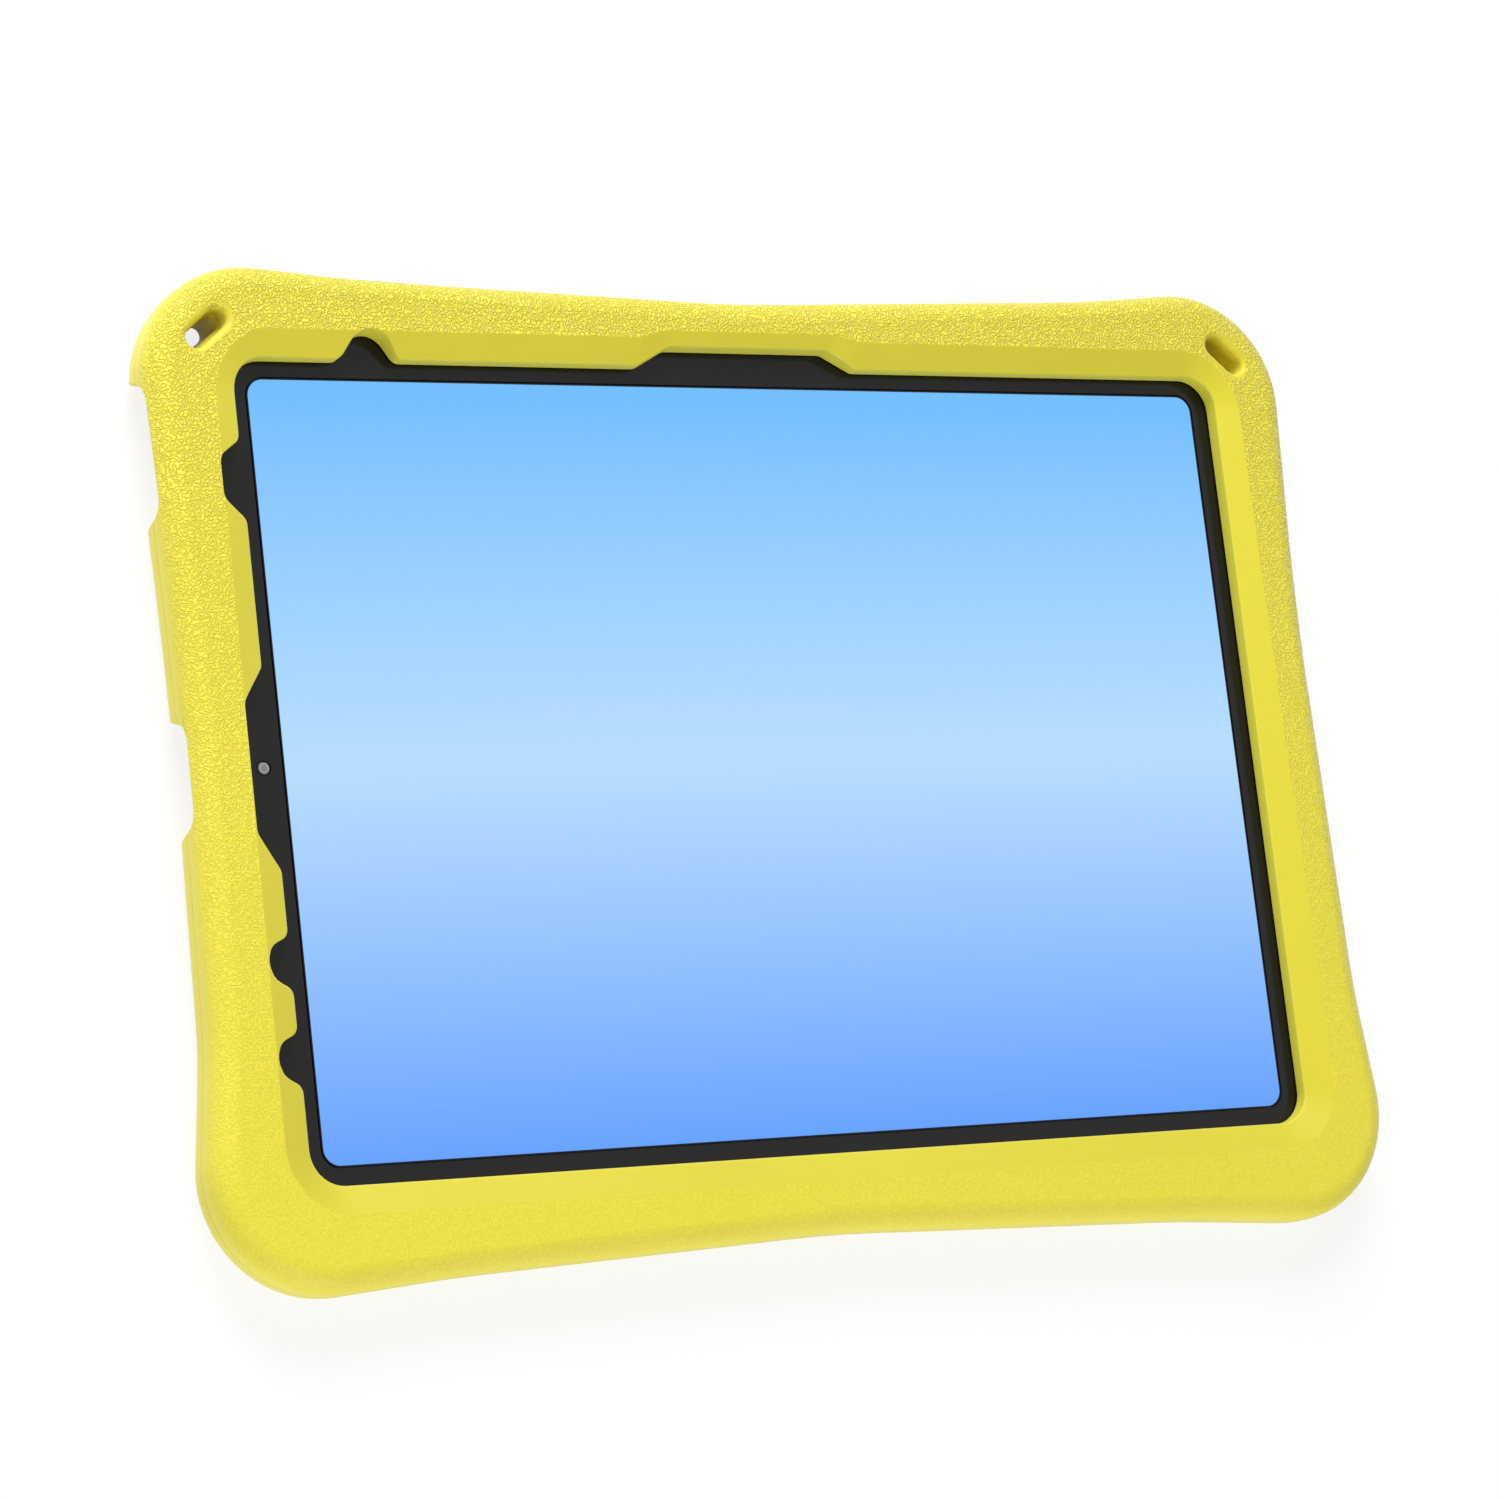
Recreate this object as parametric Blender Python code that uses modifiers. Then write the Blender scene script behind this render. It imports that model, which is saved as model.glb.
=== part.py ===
"""Moulded foam case for an eleven inch tablet, with the tablet seated in it.

It lies on its back: +X along the long side, +Y to the upper long edge, +Z out of the screen.
The origin is under the middle of the outline, on the back face. Lengths are in metres.
The case is drawn around the tablet, so its walls, lips and notches follow the tablet's size.
"""

import math

import bmesh
import bpy
from mathutils import Matrix, Vector

MM = 0.001

# Fit between pieces that touch in the real thing.
CLEARANCE = 0.3 * MM
# Curves may stray this far from a true arc.
CHORD_ERROR = 0.03 * MM

# Tablet. Its middle sits a little up and to the right of the middle of the case outline.
TABLET_X = 0.5 * MM
TABLET_Y = 1.2 * MM
TABLET_LENGTH = 248.0 * MM
TABLET_WIDTH = 179.6 * MM
TABLET_THICKNESS = 6.1 * MM
TABLET_CORNER = 16.0 * MM
TABLET_EDGE_ROUND = 0.6 * MM
GLASS_THICKNESS = 1.1 * MM
GLASS_EDGE_ROUND = 0.3 * MM
BORDER_AT_ENDS = 9.45 * MM
BORDER_AT_SIDES = 9.8 * MM
DISPLAY_CORNER = 3.8 * MM
DISPLAY_THICKNESS = 0.5 * MM
LENS_FROM_END = 5.2 * MM
FRONT_LENS_RADIUS = 1.25 * MM
FRONT_LENS_DEPTH = 0.5 * MM
ISLAND_FROM_END = 21.0 * MM
ISLAND_FROM_SIDE = 22.8 * MM
ISLAND_SIZE = 28.0 * MM
ISLAND_CORNER = 7.5 * MM
ISLAND_RISE = 1.7 * MM
ISLAND_EDGE_ROUND = 0.5 * MM
REAR_LENS_SPREAD = 7.0 * MM
REAR_LENS_RADIUS = 4.6 * MM
REAR_LENS_DEPTH = 0.8 * MM
FLASH_RADIUS = 2.4 * MM
LENS_EDGE_ROUND = 0.1 * MM
PORT_LENGTH = 9.0 * MM
PORT_HEIGHT = 3.2 * MM
PORT_DEPTH = 7.0 * MM
# Keys, seen through the case's openings and level with their middles.
KEY_WIDTH = 2.4 * MM
KEY_PROUD = 0.35 * MM
KEY_DEPTH = 1.2 * MM
KEY_EDGE_ROUND = 0.2 * MM
POWER_KEY_LENGTH = 12.0 * MM
VOLUME_KEY_LENGTH = 9.6 * MM
VOLUME_KEY_SPREAD = 6.0 * MM

# Case walls outside the tablet, each given at its thinnest and by how far it rises from there.
# The ends draw in around the middle, and again over the lower corners, where they are widest.
END_WALL = 11.2 * MM
RIGHT_WAIST_Y = 22.0 * MM
RIGHT_DIP_RISE = 1.4 * MM
LEFT_WAIST_Y = 4.0 * MM
LEFT_DIP_RISE = 0.8 * MM
END_DIP_FROM_SIDE = 43.8 * MM
END_HIGH_RISE = 2.0 * MM
END_LOW_RISE = 4.0 * MM
# The long sides draw in at the middle, swell a little, and draw in again beside each corner.
SIDE_WALL = 9.35 * MM
SIDE_SWELL_RISE = 0.85 * MM
SIDE_SWELL_X = 32.0 * MM
SIDE_SWELL_RADIUS = 176.0 * MM
SIDE_DIP_RISE = 2.4 * MM
SIDE_DIP_FROM_END = 53.0 * MM
SIDE_CORNER_RISE = 4.8 * MM
CASE_CORNER = 24.6 * MM
# Share of its longest possible curve that each hollow takes before the line runs straight.
END_WAIST_SWEEP = 0.88
END_DIP_SWEEP = 0.77
SIDE_WAIST_SWEEP = 0.80
SIDE_DIP_SWEEP = 0.87
RIM_ROUND = 5.4 * MM
RIM_SEGMENTS = 7
BACK_WALL = 2.8 * MM
FRONT_RISE = 5.75 * MM

# Window over the screen: how far its lip covers the tablet, and the ramp up to the front face.
LIP_AT_ENDS = 5.5 * MM
LIP_AT_SIDES = 6.2 * MM
WINDOW_Y = -0.3 * MM
WINDOW_CORNER = 7.0 * MM
LIP_DRAFT = 0.4 * MM
RAMP_RUN_LOW_ENDS = 6.3 * MM
RAMP_RUN_HIGH_ENDS = 5.1 * MM
RAMP_RUN_SIDES = 5.85 * MM
RAMP_Y = -0.55 * MM
RAMP_CORNER = 14.0 * MM
RAMP_SLOPE = 0.415
RAMP_PAST_LIP = 2.55 * MM
RAMP_BULGE_RISE = 1.6 * MM
RAMP_BULGE_TOP = 39.0 * MM
RAMP_BULGE_SLANT = 7.5 * MM
RAMP_BULGE_SWEEP = 0.92

# Notches in the lip. Depths run outward from the window's edge, and slants are how far each
# sloping side of a notch runs along the lip.
TOP_NOTCH_X = 0.4 * MM
TOP_NOTCH_DEPTH = 3.9 * MM
TOP_NOTCH_DEEP = 42.0 * MM
TOP_NOTCH_SLANT = 6.0 * MM
ROUND_TOP_FROM_END = 36.0 * MM
ROUND_TOP_DEPTH = 5.8 * MM
ROUND_TOP_RADIUS = 5.0 * MM
ROUND_TOP_SLANT = 0.3 * MM
SENSOR_NOTCH_FROM_SIDE = 31.8 * MM
SENSOR_NOTCH_DEPTH = 5.3 * MM
SENSOR_NOTCH_DEEP = 11.0 * MM
SENSOR_NOTCH_SLANT = 3.85 * MM
CAMERA_NOTCH_Y = -0.8 * MM
CAMERA_NOTCH_DEPTH = 5.3 * MM
CAMERA_NOTCH_DEEP = 29.6 * MM
CAMERA_NOTCH_SLANT = 6.4 * MM
ROUND_LEFT_FROM_SIDE = (50.2 * MM, 31.0 * MM)
ROUND_LEFT_DEPTH = 5.45 * MM
ROUND_LEFT_RADIUS = 4.2 * MM
ROUND_LEFT_SLANT = 0.1 * MM
NOTCH_ROUND = 2.5 * MM

# Strap slots through the upper corners, each by its middle from the middle of its corner.
SLOT_LENGTH = 10.6 * MM
SLOT_WIDTH = 4.4 * MM
SLOT_RIM = 1.3 * MM
SLOT_RIM_STEPS = 6
SLOT_STEP = 0.4 * MM
SLOT_STEP_DEPTH = 4.4 * MM
LEFT_SLOT = (-11.0 * MM, 10.6 * MM, math.radians(39))
RIGHT_SLOT = (9.8 * MM, 10.1 * MM, math.radians(-42))

# Openings through the walls behind the glass, each by its width at the ceiling inside.
OPENING_FLARE = 0.23
OPENING_SPREAD = 0.12
OPENING_ROUND = 2.0 * MM
OPENING_INTO_POCKET = 1.0 * MM
POWER_OPENING_FROM_SIDE = 25.3 * MM
POWER_OPENING_WIDTH = 24.0 * MM
LEFT_OPENING_Y = -0.2 * MM
LEFT_OPENING_WIDTH = 18.4 * MM
VOLUME_OPENING_FROM_END = 35.5 * MM
VOLUME_OPENING_WIDTH = 25.0 * MM
PORT_OPENING_WIDTH = 14.4 * MM
CAMERA_HOLE_MARGIN = 2.2 * MM
CAMERA_HOLE_CHAMFER = 1.4 * MM

# Places and levels that follow from the sizes above.
HALF_LENGTH = TABLET_LENGTH / 2
HALF_WIDTH = TABLET_WIDTH / 2
CORNER_UP = HALF_WIDTH + SIDE_WALL + SIDE_CORNER_RISE - CASE_CORNER
CORNER_OUT_LOW = HALF_LENGTH + END_WALL + END_LOW_RISE - CASE_CORNER
CORNER_OUT_HIGH = HALF_LENGTH + END_WALL + END_HIGH_RISE - CASE_CORNER
TABLET_BACK = BACK_WALL + CLEARANCE
GLASS_LEVEL = TABLET_BACK + TABLET_THICKNESS
GLASS_BACK = GLASS_LEVEL - GLASS_THICKNESS
HOUSING_TOP = GLASS_BACK - CLEARANCE
EDGE_LEVEL = (TABLET_BACK + HOUSING_TOP) / 2
ISLAND_BACK = TABLET_BACK - ISLAND_RISE
POCKET_CEILING = GLASS_LEVEL + CLEARANCE
FRONT_LEVEL = GLASS_LEVEL + FRONT_RISE
# Cutters pass the faces they open by this much.
PAST = 2.0 * MM


def linear(hex_colour):
    """Turn a screen colour into the values a shader takes."""
    values = []
    for place in (0, 2, 4):
        level = int(hex_colour[place:place + 2], 16) / 255
        values.append(level / 12.92 if level <= 0.04045 else ((level + 0.055) / 1.055) ** 2.4)
    return (*values, 1.0)


def material(name, hex_colour, roughness, metallic=0.0):
    """Make one plain material."""
    made = bpy.data.materials.new(name)
    made.use_nodes = True
    shader = made.node_tree.nodes["Principled BSDF"]
    shader.inputs["Base Color"].default_value = linear(hex_colour)
    shader.inputs["Roughness"].default_value = roughness
    shader.inputs["Metallic"].default_value = metallic
    made.diffuse_color = linear(hex_colour)
    return made


def belt(circles, grow=0.0):
    """Run a line counter-clockwise around (x, y, radius) circles, tangent to each in turn.

    A circle with a negative radius is passed on its other side, so the line bends inward there.
    Growing the line moves it outward everywhere by the same amount, until an arc is a point.
    """
    headings = []
    for (x0, y0, r0), (x1, y1, r1) in zip(circles, circles[1:] + circles[:1]):
        step = Vector((x1 - x0, y1 - y0))
        run = math.sqrt(step.length_squared - (r1 - r0) ** 2)
        headings.append(math.atan2(step.y, step.x) - math.atan2(r1 - r0, run))
    outline = []
    for index, (x, y, radius) in enumerate(circles):
        start = headings[index - 1]
        turn = (headings[index] - start + math.pi) % (2 * math.pi) - math.pi
        if radius > 0 and turn < -math.pi / 2:
            turn += 2 * math.pi
        widest_step = 2 * math.acos(max(0.0, 1 - CHORD_ERROR / abs(radius)))
        count = max(1, math.ceil(abs(turn) / widest_step))
        reach = max(radius + grow, 0.0) if radius > 0 else radius + grow
        for step in range(count + 1):
            heading = start + turn * step / count
            outline.append((x + reach * math.sin(heading), y - reach * math.cos(heading)))
    return outline


def box_circles(length, width, radius, x=0.0, y=0.0):
    """Circles at the corners of a rounded rectangle."""
    across = length / 2 - radius
    up = width / 2 - radius
    return [
        (x + across, y - up, radius),
        (x + across, y + up, radius),
        (x - across, y + up, radius),
        (x - across, y - up, radius),
    ]


def slot_circles(length, width, x=0.0, y=0.0, angle=0.0):
    """Circles at the ends of a long round-ended slot."""
    radius = width / 2
    reach = Vector((length / 2 - radius, 0)) @ Matrix.Rotation(-angle, 2)
    return [(x + reach.x, y + reach.y, radius), (x - reach.x, y - reach.y, radius)]


def seated(circles):
    """Move circles given from the tablet's middle to where the tablet lies in the case."""
    return [(x + TABLET_X, y + TABLET_Y, radius) for x, y, radius in circles]


def prism(circles, low, high, grow=0.0):
    """One outline at two levels."""
    return [(belt(circles, grow), low), (belt(circles, grow), high)]


def keep(name, work, collection):
    """Turn a finished bmesh into an object, smooth on its round sides."""
    bmesh.ops.recalc_face_normals(work, faces=work.faces)
    if work.calc_volume(signed=True) < 0:
        bmesh.ops.reverse_faces(work, faces=work.faces)
    mesh = bpy.data.meshes.new(name)
    work.to_mesh(mesh)
    work.free()
    mesh.shade_smooth()
    mesh.set_sharp_from_angle(angle=math.radians(30))
    made = bpy.data.objects.new(name, mesh)
    collection.objects.link(made)
    return made


def solid(name, rings, collection, turn=None):
    """Extrude the first outline up through the others, then turn the solid if asked."""
    work = bmesh.new()
    outline, level = rings[0]
    bottom = work.faces.new([work.verts.new((x, y, level)) for x, y in outline])
    last = bottom
    for outline, level in rings[1:]:
        grown = bmesh.ops.extrude_face_region(work, geom=[last])["geom"]
        top = next(item for item in grown if isinstance(item, bmesh.types.BMFace))
        for vert, (x, y) in zip(top.verts, outline):
            vert.co = (x, y, level)
        if last is not bottom:
            bmesh.ops.delete(work, geom=[last], context="FACES_ONLY")
        last = top
    bmesh.ops.remove_doubles(work, verts=work.verts, dist=0.001 * MM)
    if turn is not None:
        work.transform(turn)
    return keep(name, work, collection)


def disc(name, radius, x, y, low, high, collection):
    """Make a short round solid about an upright line."""
    work = bmesh.new()
    sides = math.ceil(math.pi / math.acos(1 - CHORD_ERROR / radius))
    middle = Matrix.Translation((x + TABLET_X, y + TABLET_Y, (low + high) / 2))
    bmesh.ops.create_cone(work, cap_ends=True, segments=sides, radius1=radius, radius2=radius,
                          depth=high - low, matrix=middle)
    return keep(name, work, collection)


def finish(piece, look, rim_round=None, segments=2):
    """Give a sub-part its material and, where asked, round its rims."""
    piece.data.materials.append(look)
    if rim_round:
        round_rims(piece, rim_round, segments)
    return piece


def round_rims(piece, width, segments):
    """Round the sharp rims of a solid."""
    step = piece.modifiers.new("rounded rims", "BEVEL")
    step.width = width
    step.segments = segments
    step.limit_method = "ANGLE"
    step.angle_limit = math.radians(60)
    step.use_clamp_overlap = False


def combine(target, tool, operation):
    """Cut a tool solid from a sub-part, or join it on."""
    tool.hide_render = True
    tool.display_type = "WIRE"
    step = target.modifiers.new(tool.name, "BOOLEAN")
    step.operation = operation
    step.solver = "EXACT"
    step.object = tool


def cut(target, name, rings, turn=None):
    """Take stacked outlines away from a sub-part."""
    combine(target, solid(name, rings, cutters, turn), "DIFFERENCE")


def hollow_radius(run, rise, sweep, other_radius):
    """Radius of a hollow whose line climbs by the rise over the run to meet another curve."""
    return sweep * (run ** 2 + rise ** 2) / (2 * rise) - other_radius


def end_circles(waist_y, dip_rise):
    """The two hollows of an end, from the lower one up, with the wall on the right."""
    end = HALF_LENGTH + END_WALL
    dip_y = END_DIP_FROM_SIDE - HALF_WIDTH
    dip = hollow_radius(dip_y + CORNER_UP, END_LOW_RISE - dip_rise, END_DIP_SWEEP, CASE_CORNER)
    waist = hollow_radius(CORNER_UP - waist_y, END_HIGH_RISE, END_WAIST_SWEEP, CASE_CORNER)
    return [(end + dip_rise + dip, dip_y, -dip), (end + waist, waist_y, -waist)]


def case_circles():
    """Outline of the case: four full corners and four sides that draw in between them."""
    radius = CASE_CORNER
    right_end = end_circles(RIGHT_WAIST_Y, RIGHT_DIP_RISE)
    left_end = [(-x, y, r) for x, y, r in reversed(end_circles(LEFT_WAIST_Y, LEFT_DIP_RISE))]
    side = HALF_WIDTH + SIDE_WALL
    dip_x = HALF_LENGTH - SIDE_DIP_FROM_END
    dip = hollow_radius(CORNER_OUT_HIGH - dip_x, SIDE_CORNER_RISE - SIDE_DIP_RISE,
                        SIDE_DIP_SWEEP, radius)
    waist = hollow_radius(SIDE_SWELL_X, SIDE_SWELL_RISE, SIDE_WAIST_SWEEP, SIDE_SWELL_RADIUS)
    half_side = [
        (dip_x, side + SIDE_DIP_RISE + dip, -dip),
        (SIDE_SWELL_X, side + SIDE_SWELL_RISE - SIDE_SWELL_RADIUS, SIDE_SWELL_RADIUS),
    ]
    upper_side = half_side + [(0.0, side + waist, -waist)]
    upper_side += [(-x, y, r) for x, y, r in reversed(half_side)]
    lower_side = [(-x, -y, r) for x, y, r in upper_side]
    return ([(CORNER_OUT_LOW, -CORNER_UP, radius)] + right_end
            + [(CORNER_OUT_HIGH, CORNER_UP, radius)] + upper_side
            + [(-CORNER_OUT_HIGH, CORNER_UP, radius)] + left_end
            + [(-CORNER_OUT_LOW, -CORNER_UP, radius)] + lower_side)


def ramp_circles():
    """Outline where the ramp meets the front face; it swells over the upper notch."""
    radius = RAMP_CORNER
    edge = RAMP_Y + HALF_WIDTH - LIP_AT_SIDES + RAMP_RUN_SIDES
    down = RAMP_Y - HALF_WIDTH + LIP_AT_SIDES - RAMP_RUN_SIDES + radius
    lower = HALF_LENGTH - LIP_AT_ENDS + RAMP_RUN_LOW_ENDS - radius
    upper = HALF_LENGTH - LIP_AT_ENDS + RAMP_RUN_HIGH_ENDS - radius
    bend = hollow_radius(RAMP_BULGE_SLANT, RAMP_BULGE_RISE, RAMP_BULGE_SWEEP, 0.0) / 2
    top_x = RAMP_BULGE_TOP / 2
    foot_x = top_x + RAMP_BULGE_SLANT
    foot_y = edge + bend
    top_y = edge + RAMP_BULGE_RISE - bend
    return [
        (lower, down, radius),
        (upper, edge - radius, radius),
        (TOP_NOTCH_X + foot_x, foot_y, -bend),
        (TOP_NOTCH_X + top_x, top_y, bend),
        (TOP_NOTCH_X - top_x, top_y, bend),
        (TOP_NOTCH_X - foot_x, foot_y, -bend),
        (-upper, edge - radius, radius),
        (-lower, down, radius),
    ]


def flat_notch(middle, edge, depth, deep, slant):
    """Circles of a flat-bottomed notch as (along, out, radius), from its high end down."""
    foot = deep / 2 + slant
    corner = deep / 2 - NOTCH_ROUND
    foot_out = edge + NOTCH_ROUND
    corner_out = edge + depth - NOTCH_ROUND
    return [
        (middle + foot, foot_out, -NOTCH_ROUND),
        (middle + corner, corner_out, NOTCH_ROUND),
        (middle - corner, corner_out, NOTCH_ROUND),
        (middle - foot, foot_out, -NOTCH_ROUND),
    ]


def round_notch(middle, edge, depth, radius, slant):
    """Circles of a round notch as (along, out, radius), from its high end down."""
    foot = radius + slant + NOTCH_ROUND
    foot_out = edge + NOTCH_ROUND
    return [
        (middle + foot, foot_out, -NOTCH_ROUND),
        (middle, edge + depth - radius, radius),
        (middle - foot, foot_out, -NOTCH_ROUND),
    ]


def window_circles():
    """Outline of the window at the glass, with the notches in its upper and left sides."""
    length = TABLET_LENGTH - 2 * LIP_AT_ENDS
    width = TABLET_WIDTH - 2 * LIP_AT_SIDES
    corners = box_circles(length, width, WINDOW_CORNER, y=WINDOW_Y)
    top_edge = WINDOW_Y + width / 2
    left_edge = length / 2
    top = flat_notch(TOP_NOTCH_X, top_edge, TOP_NOTCH_DEPTH, TOP_NOTCH_DEEP, TOP_NOTCH_SLANT)
    top += round_notch(ROUND_TOP_FROM_END - HALF_LENGTH, top_edge, ROUND_TOP_DEPTH,
                       ROUND_TOP_RADIUS, ROUND_TOP_SLANT)
    left = flat_notch(HALF_WIDTH - SENSOR_NOTCH_FROM_SIDE, left_edge, SENSOR_NOTCH_DEPTH,
                      SENSOR_NOTCH_DEEP, SENSOR_NOTCH_SLANT)
    left += flat_notch(CAMERA_NOTCH_Y, left_edge, CAMERA_NOTCH_DEPTH, CAMERA_NOTCH_DEEP,
                       CAMERA_NOTCH_SLANT)
    for from_side in ROUND_LEFT_FROM_SIDE:
        left += round_notch(from_side - HALF_WIDTH, left_edge, ROUND_LEFT_DEPTH,
                            ROUND_LEFT_RADIUS, ROUND_LEFT_SLANT)
    left_side = [(-out, along, radius) for along, out, radius in left]
    return corners[:2] + top + corners[2:3] + left_side + corners[3:]


def ramp_rings():
    """The ramp as a cutter, carried on past the lip below and the front face above."""
    circles = seated(ramp_circles())
    inward = RAMP_RUN_HIGH_ENDS + RAMP_PAST_LIP
    outward = PAST / RAMP_SLOPE
    return [
        (belt(circles, -inward), FRONT_LEVEL - inward * RAMP_SLOPE),
        (belt(circles, outward), FRONT_LEVEL + PAST),
    ]


def window_rings():
    """The window as a cutter, opening a little from the glass to the front."""
    circles = seated(window_circles())
    return [
        (belt(circles), GLASS_LEVEL + CLEARANCE / 2),
        (belt(circles, LIP_DRAFT), FRONT_LEVEL + PAST),
    ]


def strap_slot_rings(corner_x, slot):
    """A strap slot as a cutter: soft rims front and back, and a small step between halves."""
    x, y, angle = slot
    circles = slot_circles(SLOT_LENGTH - 2 * SLOT_STEP, SLOT_WIDTH - 2 * SLOT_STEP,
                           corner_x + x, CORNER_UP + y, angle)
    step_level = FRONT_LEVEL - SLOT_STEP_DEPTH
    back_rim = []
    front_rim = []
    for step in range(SLOT_RIM_STEPS + 1):
        angle = math.pi / 2 * step / SLOT_RIM_STEPS
        out = SLOT_RIM * (1 - math.sin(angle))
        deep = SLOT_RIM * (1 - math.cos(angle))
        back_rim.append((belt(circles, out), deep))
        front_rim.append((belt(circles, SLOT_STEP + out), FRONT_LEVEL - deep))
    narrow = (belt(circles), step_level)
    wide = (belt(circles, SLOT_STEP), step_level + SLOT_STEP / 2)
    below = (belt(circles, SLOT_RIM), -PAST)
    above = (belt(circles, SLOT_STEP + SLOT_RIM), FRONT_LEVEL + PAST)
    return [below] + back_rim + [narrow, wide] + front_rim[::-1] + [above]


def edge_key(name, length, along, edge, turn):
    """Set a long round-ended key in a seat in the housing, standing a little proud of its edge.

    Like an opening, it is drawn flat as (along the edge, height) and then stood up.
    """
    side = math.copysign(1.0, edge)
    circles = slot_circles(length, KEY_WIDTH, along, EDGE_LEVEL)
    outer = edge + side * KEY_PROUD
    inner = edge - side * KEY_DEPTH
    seat = [
        (belt(circles, CLEARANCE), inner - side * CLEARANCE),
        (belt(circles, CLEARANCE), edge + side * PAST),
    ]
    cut(housing, name + " seat", seat, turn)
    key = solid(name, prism(circles, inner, outer), parts, turn)
    finish(key, metal, KEY_EDGE_ROUND)


def side_opening(name, middle, width, wall, turn):
    """Open a wall from the back up to the glass, flared to the back and to the outside.

    The opening is drawn flat as (along the wall, height) and then stood up against the wall.
    """
    ceiling = GLASS_LEVEL + CLEARANCE / 2
    radius = OPENING_ROUND
    slant = (ceiling + PAST) * OPENING_FLARE
    circles = [
        (middle + width / 2 + slant, -PAST, radius / 4),
        (middle + width / 2 - radius, ceiling - radius, radius),
        (middle - width / 2 + radius, ceiling - radius, radius),
        (middle - width / 2 - slant, -PAST, radius / 4),
    ]
    through = END_WALL + END_LOW_RISE + SIDE_CORNER_RISE + PAST
    inner = abs(wall) - OPENING_INTO_POCKET
    outer = inner + through
    side = math.copysign(1.0, wall)
    rings = [(belt(circles), side * inner), (belt(circles, through * OPENING_SPREAD), side * outer)]
    cut(case, name, rings, turn)


for thing in list(bpy.data.objects):
    bpy.data.objects.remove(thing, do_unlink=True)
parts = bpy.data.collections.new("rugged tablet case")
cutters = bpy.data.collections.new("cutters")
bpy.context.scene.collection.children.link(parts)
bpy.context.scene.collection.children.link(cutters)

# The foam case, one moulded piece.
case = solid("foam_case", prism(case_circles(), 0.0, FRONT_LEVEL), parts)
finish(case, material("yellow foam", "E8DC48", 0.62), RIM_ROUND, RIM_SEGMENTS)
tablet = seated(box_circles(TABLET_LENGTH, TABLET_WIDTH, TABLET_CORNER))
cut(case, "tablet pocket", prism(tablet, BACK_WALL, POCKET_CEILING, CLEARANCE))
cut(case, "window and notches", window_rings())
cut(case, "ramp", ramp_rings())
cut(case, "left strap slot", strap_slot_rings(-CORNER_OUT_HIGH, LEFT_SLOT))
cut(case, "right strap slot", strap_slot_rings(CORNER_OUT_HIGH, RIGHT_SLOT))

to_end_wall = Matrix(((0, 0, 1, 0), (1, 0, 0, 0), (0, 1, 0, 0), (0, 0, 0, 1)))
to_long_wall = Matrix(((-1, 0, 0, 0), (0, 0, 1, 0), (0, 1, 0, 0), (0, 0, 0, 1)))
left_wall = TABLET_X - HALF_LENGTH - CLEARANCE
right_wall = TABLET_X + HALF_LENGTH + CLEARANCE
upper_wall = TABLET_Y + HALF_WIDTH + CLEARANCE
power_y = TABLET_Y + HALF_WIDTH - POWER_OPENING_FROM_SIDE
volume_x = TABLET_X - HALF_LENGTH + VOLUME_OPENING_FROM_END
side_opening("power key opening", power_y, POWER_OPENING_WIDTH, left_wall, to_end_wall)
side_opening("left middle opening", LEFT_OPENING_Y, LEFT_OPENING_WIDTH, left_wall, to_end_wall)
side_opening("charging port opening", TABLET_Y, PORT_OPENING_WIDTH, right_wall, to_end_wall)
side_opening("volume key opening", -volume_x, VOLUME_OPENING_WIDTH, upper_wall, to_long_wall)

island_x = ISLAND_FROM_END - HALF_LENGTH
island_y = HALF_WIDTH - ISLAND_FROM_SIDE
island = seated(box_circles(ISLAND_SIZE, ISLAND_SIZE, ISLAND_CORNER, island_x, island_y))
cut(case, "rear camera hole", [
    (belt(island, CAMERA_HOLE_MARGIN + CAMERA_HOLE_CHAMFER + PAST), -PAST),
    (belt(island, CAMERA_HOLE_MARGIN), CAMERA_HOLE_CHAMFER),
    (belt(island, CAMERA_HOLE_MARGIN), BACK_WALL + PAST),
])

# The tablet's metal housing, with its raised camera island, the charging port and the keys.
metal = material("grey anodised metal", "8C8F93", 0.42, 1.0)
housing = solid("tablet_housing", prism(tablet, TABLET_BACK, HOUSING_TOP), parts)
finish(housing, metal, TABLET_EDGE_ROUND, 3)
bump = solid("camera island", prism(island, ISLAND_BACK, TABLET_BACK + PAST), cutters)
round_rims(bump, ISLAND_EDGE_ROUND, 3)
combine(housing, bump, "UNION")
port = slot_circles(PORT_LENGTH, PORT_HEIGHT, TABLET_Y, EDGE_LEVEL)
tablet_end = TABLET_X + HALF_LENGTH
cut(housing, "charging port", prism(port, tablet_end - PORT_DEPTH, tablet_end + PAST),
    to_end_wall)
upper_edge = TABLET_Y + HALF_WIDTH
edge_key("power_key", POWER_KEY_LENGTH, power_y, TABLET_X - HALF_LENGTH, to_end_wall)
for name, shift in (("volume_up_key", -VOLUME_KEY_SPREAD), ("volume_down_key", VOLUME_KEY_SPREAD)):
    edge_key(name, VOLUME_KEY_LENGTH, -volume_x - shift, upper_edge, to_long_wall)

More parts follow.
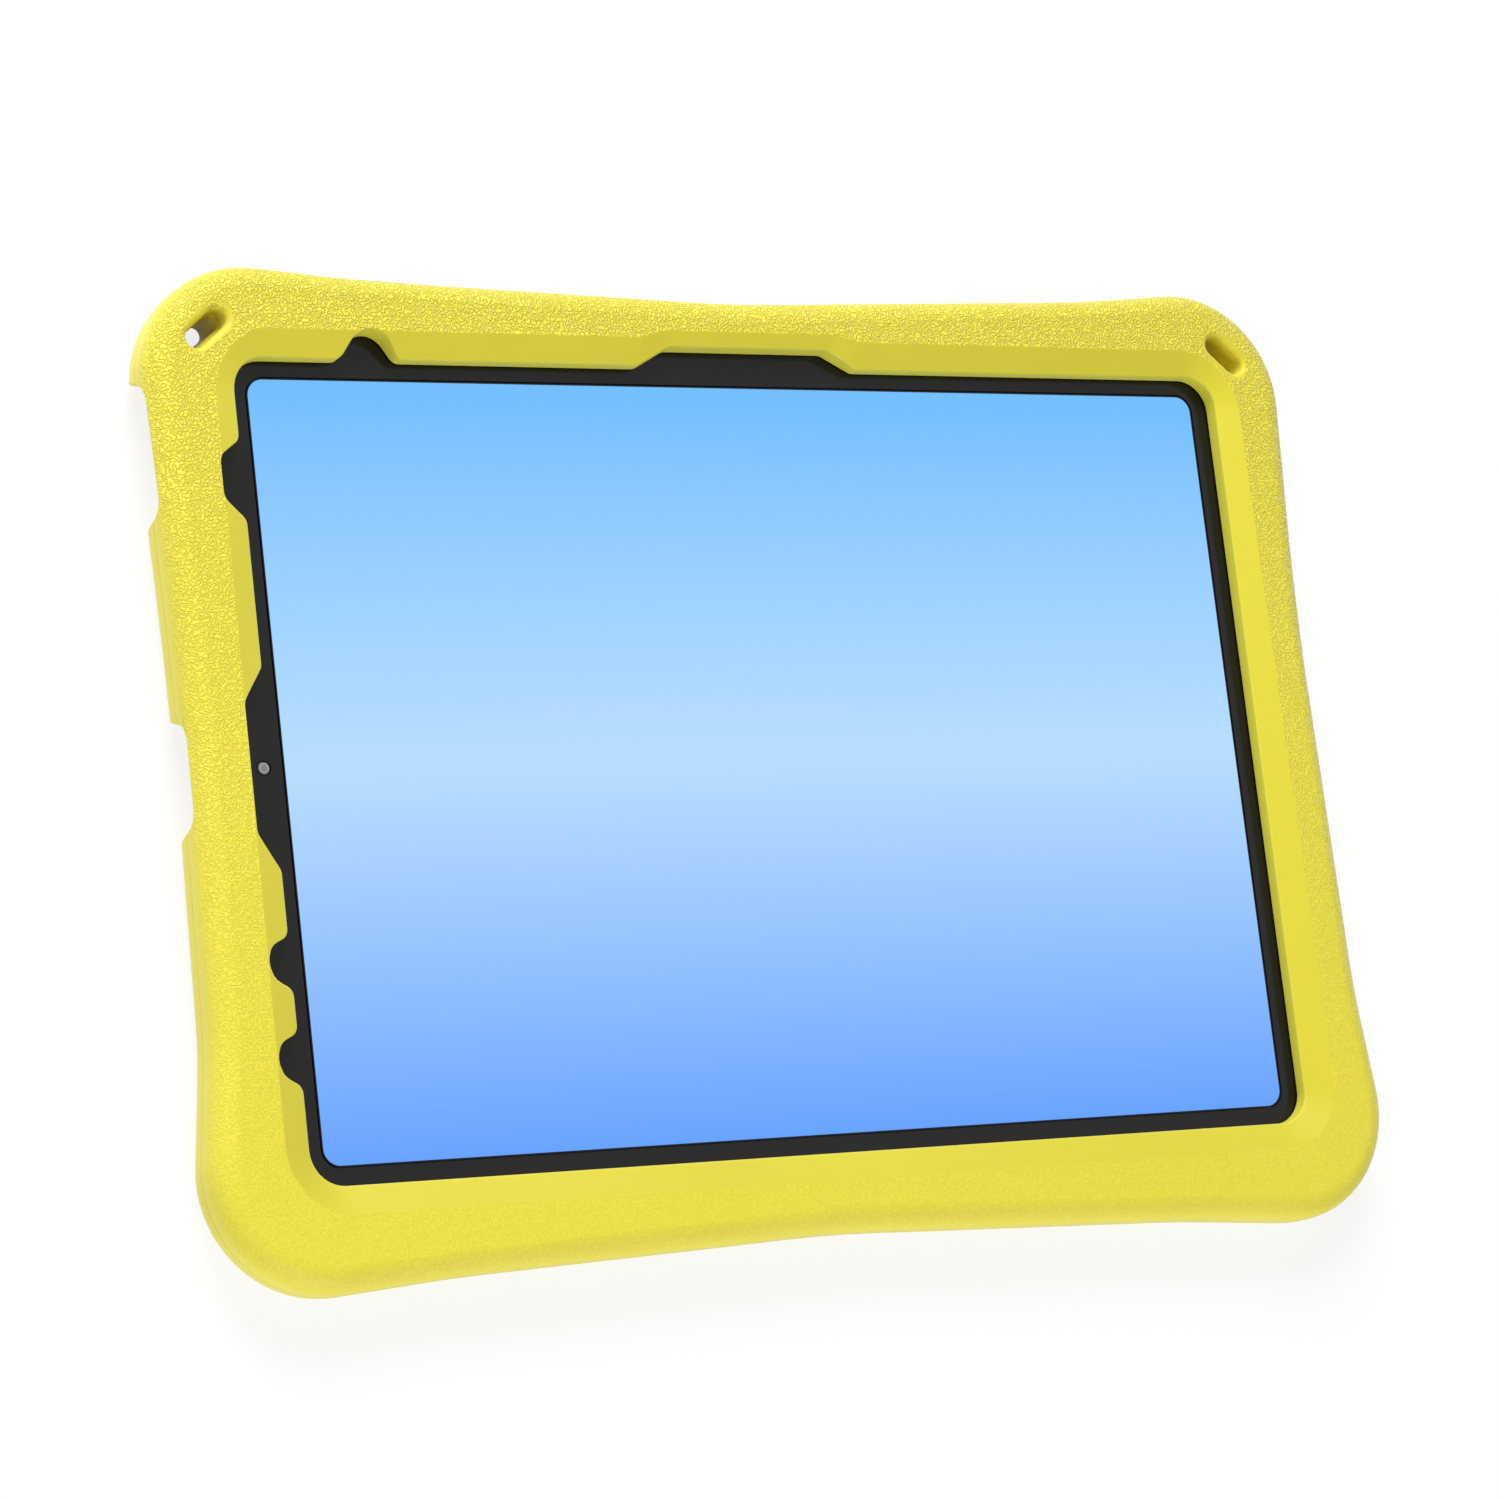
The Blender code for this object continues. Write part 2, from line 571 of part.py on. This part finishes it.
# Two lenses and a flash, let into the island in three of its quarters.
lens_glass = material("dark lens glass", "0B0C10", 0.08)
flash_cover = material("pale flash cover", "F2EBD8", 0.25)
island_pieces = (
    ("rear_lens_upper", -1, 1, REAR_LENS_RADIUS, lens_glass),
    ("rear_lens_lower", 1, -1, REAR_LENS_RADIUS, lens_glass),
    ("rear_flash", -1, -1, FLASH_RADIUS, flash_cover),
)
for name, across, up, radius, look in island_pieces:
    x = island_x + across * REAR_LENS_SPREAD
    y = island_y + up * REAR_LENS_SPREAD
    seat_top = ISLAND_BACK + REAR_LENS_DEPTH + CLEARANCE
    seat = disc(name + " seat", radius + CLEARANCE, x, y, ISLAND_BACK - PAST, seat_top, cutters)
    combine(housing, seat, "DIFFERENCE")
    lens = disc(name, radius, x, y, ISLAND_BACK, ISLAND_BACK + REAR_LENS_DEPTH, parts)
    finish(lens, look, LENS_EDGE_ROUND)

# Cover glass with the lit panel and the front lens let in, all level on top.
glass = solid("cover_glass", prism(tablet, GLASS_BACK, GLASS_LEVEL), parts)
finish(glass, material("black bordered glass", "303030", 0.3), GLASS_EDGE_ROUND)
display = seated(box_circles(TABLET_LENGTH - 2 * BORDER_AT_ENDS,
                             TABLET_WIDTH - 2 * BORDER_AT_SIDES, DISPLAY_CORNER))
display_back = GLASS_LEVEL - DISPLAY_THICKNESS
cut(glass, "display seat", prism(display, display_back - CLEARANCE, GLASS_LEVEL + PAST, CLEARANCE))
panel = solid("display_panel", prism(display, display_back, GLASS_LEVEL), parts)
finish(panel, material("lit display", "98C8FF", 0.35))
front_lens_x = LENS_FROM_END - HALF_LENGTH
front_lens_back = GLASS_LEVEL - FRONT_LENS_DEPTH
lens_seat = disc("front lens seat", FRONT_LENS_RADIUS + CLEARANCE, front_lens_x, 0.0,
                 front_lens_back - CLEARANCE, GLASS_LEVEL + PAST, cutters)
combine(glass, lens_seat, "DIFFERENCE")
front_lens = disc("front_lens", FRONT_LENS_RADIUS, front_lens_x, 0.0, front_lens_back,
                  GLASS_LEVEL, parts)
finish(front_lens, material("grey front lens", "7F8083", 0.2), LENS_EDGE_ROUND)
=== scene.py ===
"""Looks of a moulded foam tablet case with its tablet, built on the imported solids.

The foam case is remade from its solid, with its mould edges eased and its parting line pressed
in. The tablet's own parts keep their shape and get their real finishes. Lengths are in metres,
and the case lies on its back.
"""

from math import radians

import bmesh
import bpy
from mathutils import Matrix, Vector


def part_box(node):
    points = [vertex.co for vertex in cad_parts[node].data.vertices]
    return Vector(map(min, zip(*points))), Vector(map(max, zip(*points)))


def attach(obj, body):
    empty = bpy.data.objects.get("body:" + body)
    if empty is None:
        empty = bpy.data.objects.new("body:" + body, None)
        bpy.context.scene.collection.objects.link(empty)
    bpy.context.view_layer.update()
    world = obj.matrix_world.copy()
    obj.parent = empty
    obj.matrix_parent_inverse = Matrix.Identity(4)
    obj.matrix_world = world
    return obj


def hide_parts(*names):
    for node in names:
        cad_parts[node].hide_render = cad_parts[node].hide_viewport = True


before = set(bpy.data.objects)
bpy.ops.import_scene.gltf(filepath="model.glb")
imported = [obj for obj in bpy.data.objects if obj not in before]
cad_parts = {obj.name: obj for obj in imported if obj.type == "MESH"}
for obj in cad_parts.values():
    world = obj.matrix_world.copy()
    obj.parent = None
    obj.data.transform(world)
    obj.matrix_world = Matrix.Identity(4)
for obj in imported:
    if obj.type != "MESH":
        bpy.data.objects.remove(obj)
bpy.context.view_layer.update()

MM = 0.001

# The solids' own places, read from the frame.
CASE_LOW, CASE_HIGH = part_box("foam_case")
GLASS_LOW, GLASS_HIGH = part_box("cover_glass")
SCREEN_LOW, SCREEN_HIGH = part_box("display_panel")
TABLET_MIDDLE = (GLASS_LOW + GLASS_HIGH) / 2
FRONT = CASE_HIGH.z

# Studio: the even light of the room, and each lamp's name, place, size in metres and watts.
ROOM_LIGHT = 0.1
LAMPS = (
    ("key lamp", (-0.2, 1.0, 0.75), 0.8, 18.0),
    ("fill lamp", (0.0, -1.0, 0.35), 0.7, 6.8),
    ("left lamp", (-0.85, 0.05, 0.2), 0.5, 1.7),
)
# Floor: half its side, how far it lies under the case, and its colour as the case sees it.
FLOOR_REACH = 6.0
FLOOR_BELOW = 0.1 * MM
FLOOR_COLOUR = "DADADA"
# The background sees it as its own white light with a grey on top that takes the shadow.
FLOOR_SHADE = "848484"
FLOOR_LIGHT = 0.82

# Camera: where the photo was taken from, its turn in degrees, and its lens on a sensor this wide.
CAMERA_AT = (-0.5205, -0.17067, 0.90438)
CAMERA_TURN = (13.1754, -28.5005, -7.4423)
CAMERA_LENS = 120.19
SENSOR_WIDTH = 36.0

# The solid's triangles: corners this near are one, and faces that turn this little are flat.
MERGE_WITHIN = 0.002 * MM
FLAT_TURN = radians(0.4)
# Within this depth, and looking this squarely forward, a face or an edge is in the front face.
IN_FRONT_FACE = 0.02 * MM
FRONT_FACING = 0.99
# Foam: how far the mould's sharp edges are eased, what counts as one, and how deep below the
# front it has to lie for the easing to fit.
EDGE_EASE = 0.3 * MM
EASE_SEGMENTS = 3
EDGE_TURN = radians(28)
EASE_ROOM = 1.5 * EDGE_EASE
# Shading breaks at edges that turn more than this, and at the top of the ramp for less.
CRISP_TURN = radians(40)
RAMP_TURN = radians(18)
# The smooth funnel around the window lies inside this margin beyond the tablet's edge.
FUNNEL_MARGIN = 3.0 * MM
# Leather grain: the noise cell it grows from, drawn a little coarser than the real one so that
# it shows, its depth, and the part of the noise that makes a slope of each worm.
GRAIN_SPACING = 0.75 * MM
GRAIN_DEPTH = 0.18 * MM
GRAIN_SLOPE = 0.18
# The share of it left at the lower side, and where it ends and is full down the side wall.
GRAIN_LEFT_LOW = 0.25
GRAIN_ENDS_AT = 8.5 * MM
GRAIN_FULL_AT = 13.0 * MM
# The foam's tones: the two ends of the mottle in each mould half, the painted shade put between
# the worms, and the parting line.
# The textured half's tones are painted lighter than the smooth half's, as painted light that
# makes up for the shade its grain's bumps cast.
TEXTURED_TONES_WITH_PAINTED_LIGHT = ("F9EC45", "FCEF4A")
SMOOTH_TONES = ("E6D935", "EADD3B")
PAINTED_VALLEY_SHADE = "DED033"
LINE_TONE = "CDBF34"
# The width of the mottle's clouds, the skin's fine pores, and how far light travels inside.
MOTTLE_SPACING = 45 * MM
PORE_SPACING = 0.3 * MM
PORE_DEPTH = 0.02 * MM
LIGHT_REACH = 1.5 * MM
# The parting line's height, half its width and its depth.
PARTING_LINE_AT = 7.3 * MM
LINE_HALF_WIDTH = 0.22 * MM
LINE_DEPTH = 0.1 * MM
# The outline's corners turn around points this far out, and its walls lie this far beyond them.
CORNER_AT = Vector((114.6, 79.3, 0.0)) * MM
WALL_FROM_CORNER = 16.0 * MM
# A wall face looks at least this squarely out, as the cosine of its turn.
WALL_FACING = 0.7

# Metal: the blast's grit, drawn coarser than it is so that it shows, and its clouded tone.
GRIT_SPACING = 0.12 * MM
GRIT_DEPTH = 0.01 * MM
CLOUD_SPACING = 30 * MM
METAL_TONES = ("8A8D91", "919498")
# Glass: the black print as it shows through, and the size of a finger's smears.
PRINT_TONES = ("161616", "191919")
SMEAR_SPACING = 25 * MM
# Display: its own round corner, the black line around the lit part, and the shown gradient from
# the lower long edge (0) to the upper (1).
DISPLAY_CORNER = 3.8 * MM
BLACK_LINE = 0.32 * MM
SHOWN_GRADIENT = ((0.0, "5F9FFE"), (0.22, "8BBBFE"), (0.5, "B4DBFE"), (0.75, "95CCFE"),
                  (0.98, "6CBBFE"))
# Lenses: the specks of dust, and the rings from the middle (0) to the rim (1).
DUST_SPACING = 0.4 * MM
FRONT_LENS_RINGS = ((0.0, "9A9A9C"), (0.2, "8E8E91"), (0.38, "717175"), (0.55, "98989B"),
                    (0.85, "929296"), (1.0, "6A6A6E"))
REAR_LENS_RINGS = ((0.0, "15171E"), (0.3, "0B0C10"), (0.42, "1C1F26"), (0.5, "08090C"),
                   (0.85, "0B0C10"), (1.0, "17181B"))
FLASH_RINGS = ((0.0, "F5EED8"), (0.5, "F2EBD8"), (1.0, "E6E0D0"))


def linear(hex_colour):
    """Turn an sRGB hex colour into linear values with full alpha."""
    values = []
    for place in (0, 2, 4):
        level = int(hex_colour[place:place + 2], 16) / 255
        values.append(level / 12.92 if level <= 0.04045 else ((level + 0.055) / 1.055) ** 2.4)
    return (*values, 1.0)


def new_material(name, **inputs):
    """Start a material from a Principled shader with the given plain inputs."""
    made = bpy.data.materials.new(name)
    made.use_nodes = True
    shader = made.node_tree.nodes["Principled BSDF"]
    for key, value in inputs.items():
        shader.inputs[key.replace("_", " ")].default_value = value
    return made, shader


def put_in_scene(name, data):
    """Make an object of a mesh, a lamp or a camera, and put it in the scene."""
    made = bpy.data.objects.new(name, data)
    bpy.context.scene.collection.objects.link(made)
    return made


def add(material, kind, inputs=None, stops=(), **settings):
    """Add a node with its inputs and its own settings, and the stops of a colour ramp."""
    node = material.node_tree.nodes.new("ShaderNode" + kind)
    for name, value in settings.items():
        setattr(node, name, value)
    for key, value in (inputs or {}).items():
        plug(material, node.inputs[key], value)
    for index, (position, colour) in enumerate(stops):
        points = node.color_ramp.elements
        point = points[index] if index < len(points) else points.new(position)
        point.position = position
        point.color = linear(colour)
    return node


def plug(material, socket, value):
    """Set a socket, or link it where the value is a socket or a node, by its first output."""
    if isinstance(value, bpy.types.Node):
        value = value.outputs[0]
    if isinstance(value, bpy.types.NodeSocket):
        material.node_tree.links.new(value, socket)
    else:
        socket.default_value = value


def foam_material(name, grain, glow, tones):
    """Closed-cell EVA foam pressed in a heated mould: satin, even, faintly mottled.

    The textured mould half leaves a fine worm-like leather grain, which fades out down the side
    walls and is drawn shallower toward the lower side. The grain is how much of that texture
    there is, the glow how much light the foam lets through, and the tones the ends of its mottle.
    """
    made, shader = new_material(name, Roughness=0.5, IOR=1.45, Sheen_Weight=0.4,
                                Sheen_Roughness=0.4, Subsurface_Weight=glow,
                                Subsurface_Radius=(1.0, 0.8, 0.25), Subsurface_Scale=LIGHT_REACH)
    place = add(made, "TexCoord").outputs["Object"]
    axes = add(made, "SeparateXYZ", {"Vector": place}).outputs
    # The worms are divided by the lines where a noise crosses its own middle value.
    worms = add(made, "TexNoise", {"Vector": place, "Scale": 1 / GRAIN_SPACING, "Detail": 0.0,
                                   "Distortion": 0.4})
    crossing = add(made, "Math", {0: worms, 1: 0.5}, operation="SUBTRACT")
    crossing = add(made, "Math", {0: crossing}, operation="ABSOLUTE")
    ridges = add(made, "MapRange", {"Value": crossing, "From Max": GRAIN_SLOPE},
                 interpolation_type="SMOOTHSTEP")
    down_wall = add(made, "MapRange", {"Value": axes["Z"], "From Min": GRAIN_ENDS_AT,
                                       "From Max": GRAIN_FULL_AT, "To Max": grain})
    # The grain, and the painted shade between its worms, grow shallower toward the lower side.
    fade_to_lower_side = add(made, "MapRange", {"Value": axes["Y"], "From Min": CASE_LOW.y,
                                  "From Max": CASE_HIGH.y, "To Min": GRAIN_LEFT_LOW})
    depth = add(made, "Math", {0: down_wall, 1: fade_to_lower_side}, operation="MULTIPLY")
    bump = add(made, "Bump", {"Strength": depth, "Distance": GRAIN_DEPTH, "Height": ridges})
    pores = add(made, "TexNoise", {"Vector": place, "Scale": 1 / PORE_SPACING, "Detail": 1.0})
    skin = add(made, "Bump", {"Strength": 0.3, "Distance": PORE_DEPTH, "Height": pores,
                              "Normal": bump})
    plug(made, shader.inputs["Normal"], skin)
    # Colour: a broad mottle, with painted shade between the worms, and darker in the parting
    # line.
    mottle = add(made, "TexNoise", {"Vector": place, "Scale": 1 / MOTTLE_SPACING, "Detail": 3.0,
                                    "Roughness": 0.6})
    tone = add(made, "ValToRGB", {"Fac": mottle}, stops=((0.3, tones[0]), (0.7, tones[1])))
    # The hollows between the worms get a painted shade, darker where the grain is deeper.
    valley_shade = add(made, "Math", {0: 1.0, 1: ridges}, operation="SUBTRACT")
    valley_shade = add(made, "Math", {0: valley_shade, 1: depth}, operation="MULTIPLY")
    tone = add(made, "MixRGB", {"Fac": valley_shade, "Color1": tone, "Color2": linear(PAINTED_VALLEY_SHADE)})
    from_line = add(made, "Math", {0: axes["Z"], 1: PARTING_LINE_AT}, operation="SUBTRACT")
    from_line = add(made, "Math", {0: from_line}, operation="ABSOLUTE")
    parting = add(made, "MapRange", {"Value": from_line, "From Max": LINE_HALF_WIDTH,
                                     "To Min": 0.5, "To Max": 0.0})
    tone = add(made, "MixRGB", {"Fac": parting, "Color1": tone, "Color2": linear(LINE_TONE)})
    plug(made, shader.inputs["Base Color"], tone)
    return made


def is_grained(face):
    """Whether a face of the case came out of the textured half of the mould."""
    place = face.calc_center_median()
    if place.z > FRONT - IN_FRONT_FACE and face.normal.z > FRONT_FACING:
        return True
    beyond_end = abs(place.x - TABLET_MIDDLE.x) - (GLASS_HIGH.x - GLASS_LOW.x) / 2
    beyond_side = abs(place.y - TABLET_MIDDLE.y) - (GLASS_HIGH.y - GLASS_LOW.y) / 2
    return max(beyond_end, beyond_side) > FUNNEL_MARGIN


def is_near_front(edge, depth):
    """Whether a whole edge lies within this depth of the case's front."""
    return min(vert.co.z for vert in edge.verts) > FRONT - depth


def is_mould_edge(edge):
    """Whether two faces meet at a real edge with room to ease it, and not along one facet."""
    return edge.calc_face_angle(0.0) > EDGE_TURN and not is_near_front(edge, EASE_ROOM)


def is_crisp(edge):
    """Whether the shading breaks at an edge, as it does all along the top of the ramp."""
    turn = edge.calc_face_angle(0.0)
    return turn > CRISP_TURN or (turn > RAMP_TURN and is_near_front(edge, IN_FRONT_FACE))


def is_outer_wall(face):
    """Whether a face is part of the case's outside, and not of an opening or a strap slot."""
    place = face.calc_center_median()
    away = Vector((place.x - min(max(place.x, -CORNER_AT.x), CORNER_AT.x),
                   place.y - min(max(place.y, -CORNER_AT.y), CORNER_AT.y), 0.0))
    return away.length > WALL_FROM_CORNER and face.normal.dot(away.normalized()) > WALL_FACING


def press_parting_line(work):
    """Press the mould's parting line into the outer walls as a shallow groove."""
    for level in (-LINE_HALF_WIDTH, 0.0, LINE_HALF_WIDTH):
        faces = [face for face in work.faces if is_outer_wall(face)]
        # Each edge and corner once, and in the same order each run, as a set doesn't keep it.
        edges = dict.fromkeys(edge for face in faces for edge in face.edges)
        verts = dict.fromkeys(vert for face in faces for vert in face.verts)
        bmesh.ops.bisect_plane(work, geom=[*verts, *edges, *faces], dist=MERGE_WITHIN / 2,
                               plane_co=(0.0, 0.0, PARTING_LINE_AT + level),
                               plane_no=(0.0, 0.0, 1.0))
    bottom = [vert for vert in work.verts
              if abs(vert.co.z - PARTING_LINE_AT) < MERGE_WITHIN
              and all(is_outer_wall(face) for face in vert.link_faces)]
    for vert in bottom:
        vert.co -= vert.normal * LINE_DEPTH


def make_foam_case():
    """Remake the case from its solid, with its mould edges eased and its parting line."""
    work = bmesh.new()
    work.from_mesh(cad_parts["foam_case"].data)
    bmesh.ops.remove_doubles(work, verts=work.verts, dist=MERGE_WITHIN)
    bmesh.ops.dissolve_limit(work, angle_limit=FLAT_TURN, verts=work.verts, edges=work.edges)
    edges = [edge for edge in work.edges if is_mould_edge(edge)]
    bmesh.ops.bevel(work, geom=edges, offset=EDGE_EASE, segments=EASE_SEGMENTS, profile=0.5,
                    affect="EDGES", material=-1, clamp_overlap=False)
    bmesh.ops.recalc_face_normals(work, faces=work.faces)
    press_parting_line(work)
    for vert in work.verts:
        vert.co.z = min(max(vert.co.z, CASE_LOW.z), FRONT)
    # Faces of many corners are cut up here, because the export would leave slivers in them.
    bmesh.ops.triangulate(work, faces=[face for face in work.faces if len(face.verts) > 4])
    for edge in work.edges:
        edge.smooth = not is_crisp(edge)
    for face in work.faces:
        face.smooth = True
        face.material_index = 0 if is_grained(face) else 1
    mesh = bpy.data.meshes.new("moulded_foam_case")
    work.to_mesh(mesh)
    work.free()
    # The textured half's lighter tones are painted light against the shade of its grain.
    mesh.materials.append(foam_material("textured EVA foam", 1.0, 0.0, TEXTURED_TONES_WITH_PAINTED_LIGHT))
    mesh.materials.append(foam_material("smooth EVA foam", 0.0, 0.4, SMOOTH_TONES))
    made = put_in_scene("moulded_foam_case", mesh)
    even = made.modifiers.new("even shading", "WEIGHTED_NORMAL")
    even.keep_sharp = True
    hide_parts("foam_case")
    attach(made, "root")


def dress(material, *node_names):
    """Give solids of the frame their finished material."""
    for name in node_names:
        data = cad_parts[name].data
        data.materials.clear()
        data.materials.append(material)


def housing_material():
    """Anodised aluminium, bead blasted: a fine sparkle of grit and a soft grey sheen."""
    made, shader = new_material("bead blasted anodised aluminium", Metallic=1.0)
    place = add(made, "TexCoord").outputs["Object"]
    grit = add(made, "TexNoise", {"Vector": place, "Scale": 1 / GRIT_SPACING, "Detail": 2.0})
    cloud = add(made, "TexNoise", {"Vector": place, "Scale": 1 / CLOUD_SPACING, "Detail": 2.0})
    tone = add(made, "ValToRGB", {"Fac": cloud},
               stops=((0.3, METAL_TONES[0]), (0.7, METAL_TONES[1])))
    plug(made, shader.inputs["Base Color"], tone)
    rough = add(made, "MapRange", {"Value": grit, "To Min": 0.36, "To Max": 0.46})
    plug(made, shader.inputs["Roughness"], rough)
    bump = add(made, "Bump", {"Strength": 0.2, "Distance": GRIT_DEPTH, "Height": grit})
    plug(made, shader.inputs["Normal"], bump)
    return made


def glass_material():
    """Polished cover glass over a printed black border, with a trace of finger smear."""
    made, shader = new_material("black bordered cover glass", IOR=1.33)
    place = add(made, "TexCoord").outputs["Object"]
    smear = add(made, "TexNoise", {"Vector": place, "Scale": 1 / SMEAR_SPACING, "Detail": 4.0})
    tone = add(made, "ValToRGB", {"Fac": smear},
               stops=((0.35, PRINT_TONES[0]), (0.75, PRINT_TONES[1])))
    plug(made, shader.inputs["Base Color"], tone)
    rough = add(made, "MapRange", {"Value": smear, "To Min": 0.12, "To Max": 0.2})
    plug(made, shader.inputs["Roughness"], rough)
    return made


def display_material():
    """The lit panel, showing a plain blue gradient: deeper at both long edges, palest between."""
    made, shader = new_material("lit display", Base_Color=linear("000000"), Roughness=0.18,
                                IOR=1.35, Emission_Strength=1.0)
    place = add(made, "TexCoord").outputs["Object"]
    upward = add(made, "SeparateXYZ", {"Vector": place}).outputs["Y"]
    height = add(made, "MapRange", {"Value": upward, "From Min": SCREEN_LOW.y,
                                    "From Max": SCREEN_HIGH.y})
    glow = add(made, "ValToRGB", {"Fac": height}, stops=SHOWN_GRADIENT)
    # How far a point is from the middle of its corner round tells how near the edge it is.
    # The metre taken off its height makes the height count for nothing.
    middle = (SCREEN_LOW + SCREEN_HIGH) / 2
    half = (SCREEN_HIGH - SCREEN_LOW) / 2
    inner = (half.x - DISPLAY_CORNER, half.y - DISPLAY_CORNER, 1.0)
    point = add(made, "VectorMath", {0: place, 1: middle}, operation="SUBTRACT")
    point = add(made, "VectorMath", {0: point}, operation="ABSOLUTE")
    point = add(made, "VectorMath", {0: point, 1: inner}, operation="SUBTRACT")
    point = add(made, "VectorMath", {0: point, 1: (0.0, 0.0, 0.0)}, operation="MAXIMUM")
    away = add(made, "VectorMath", {0: point}, operation="LENGTH").outputs["Value"]
    dark = add(made, "MapRange", {"Value": away, "From Min": DISPLAY_CORNER - BLACK_LINE,
                                  "From Max": DISPLAY_CORNER - 0.8 * BLACK_LINE})
    shown = add(made, "MixRGB", {"Fac": dark, "Color1": glow, "Color2": linear("000000")})
    plug(made, shader.inputs["Emission Color"], shown)
    return made


def lens_material(node_name, name, rings):
    """Polished lens cover with rings in it, from the middle to the rim, and a trace of dust."""
    low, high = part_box(node_name)
    made, shader = new_material(name, IOR=1.5)
    place = add(made, "TexCoord").outputs["Object"]
    point = add(made, "VectorMath", {0: place, 1: (low + high) / 2}, operation="SUBTRACT")
    away = add(made, "VectorMath", {0: point}, operation="LENGTH").outputs["Value"]
    ring = add(made, "MapRange", {"Value": away, "From Max": (high.x - low.x) / 2})
    plug(made, shader.inputs["Base Color"], add(made, "ValToRGB", {"Fac": ring}, stops=rings))
    dust = add(made, "TexNoise", {"Vector": place, "Scale": 1 / DUST_SPACING, "Detail": 2.0})
    rough = add(made, "MapRange", {"Value": dust, "From Min": 0.3, "From Max": 0.7,
                                   "To Min": 0.05, "To Max": 0.12})
    plug(made, shader.inputs["Roughness"], rough)
    return made


def background_ray(material):
    """Tell whether a ray shows the background: from the camera, in a gloss or through glass."""
    path = add(material, "LightPath").outputs
    seen = add(material, "Math", {0: path["Is Camera Ray"], 1: path["Is Glossy Ray"]},
               operation="MAXIMUM")
    return add(material, "Math", {0: seen, 1: path["Is Transmission Ray"]}, operation="MAXIMUM")


def make_floor():
    """A plain pale floor, white where the camera or a gloss sees it, with a faint shadow."""
    work = bmesh.new()
    bmesh.ops.create_grid(work, x_segments=1, y_segments=1, size=FLOOR_REACH)
    mesh = bpy.data.meshes.new("floor")
    work.to_mesh(mesh)
    work.free()
    floor = put_in_scene("floor", mesh)
    floor.location.z = -FLOOR_BELOW
    made = bpy.data.materials.new("pale studio floor")
    made.use_nodes = True
    made.node_tree.nodes.clear()
    plain = add(made, "BsdfDiffuse", {"Color": linear(FLOOR_COLOUR)})
    shade = add(made, "BsdfDiffuse", {"Color": linear(FLOOR_SHADE)})
    white = add(made, "Emission", {"Color": linear("FFFFFF"), "Strength": FLOOR_LIGHT})
    bright = add(made, "AddShader", {0: shade, 1: white})
    mix = add(made, "MixShader", {0: background_ray(made), 1: plain, 2: bright})
    add(made, "OutputMaterial", {"Surface": mix})
    mesh.materials.append(made)


def add_lamp(name, place, size, energy):
    """Hang a square softbox at a place, turned to the middle of the case."""
    data = bpy.data.lights.new(name, "AREA")
    data.shape = "SQUARE"
    data.size = size
    data.energy = energy
    lamp = put_in_scene(name, data)
    lamp.location = place
    lamp.rotation_euler = (-lamp.location).to_track_quat("-Z", "Y").to_euler()


def light_studio():
    """A broad key lamp beyond the upper side, weaker ones opposite and left, and a dim room."""
    for name, place, size, energy in LAMPS:
        add_lamp(name, place, size, energy)
    world = bpy.data.worlds.new("studio")
    bpy.context.scene.world = world
    world.use_nodes = True
    world.node_tree.nodes.clear()
    strength = add(world, "MapRange", {"Value": background_ray(world), "To Min": ROOM_LIGHT})
    sky = add(world, "Background", {"Color": linear("FFFFFF"), "Strength": strength})
    add(world, "OutputWorld", {"Surface": sky})


def place_camera():
    """Look from where the photo was taken: high, from the left and a little below."""
    data = bpy.data.cameras.new("camera")
    data.sensor_width = SENSOR_WIDTH
    data.lens = CAMERA_LENS
    camera = put_in_scene("camera", data)
    camera.location = CAMERA_AT
    camera.rotation_euler = tuple(radians(turn) for turn in CAMERA_TURN)
    bpy.context.scene.camera = camera


bpy.context.scene.view_settings.view_transform = "Standard"
make_foam_case()
dress(housing_material(), "tablet_housing", "power_key", "volume_up_key", "volume_down_key")
dress(glass_material(), "cover_glass")
dress(display_material(), "display_panel")
dress(lens_material("front_lens", "grey front lens", FRONT_LENS_RINGS), "front_lens")
for lens_name in ("rear_lens_upper", "rear_lens_lower"):
    dress(lens_material(lens_name, "dark rear lens", REAR_LENS_RINGS), lens_name)
dress(lens_material("rear_flash", "milky flash cover", FLASH_RINGS), "rear_flash")
make_floor()
light_studio()
place_camera()
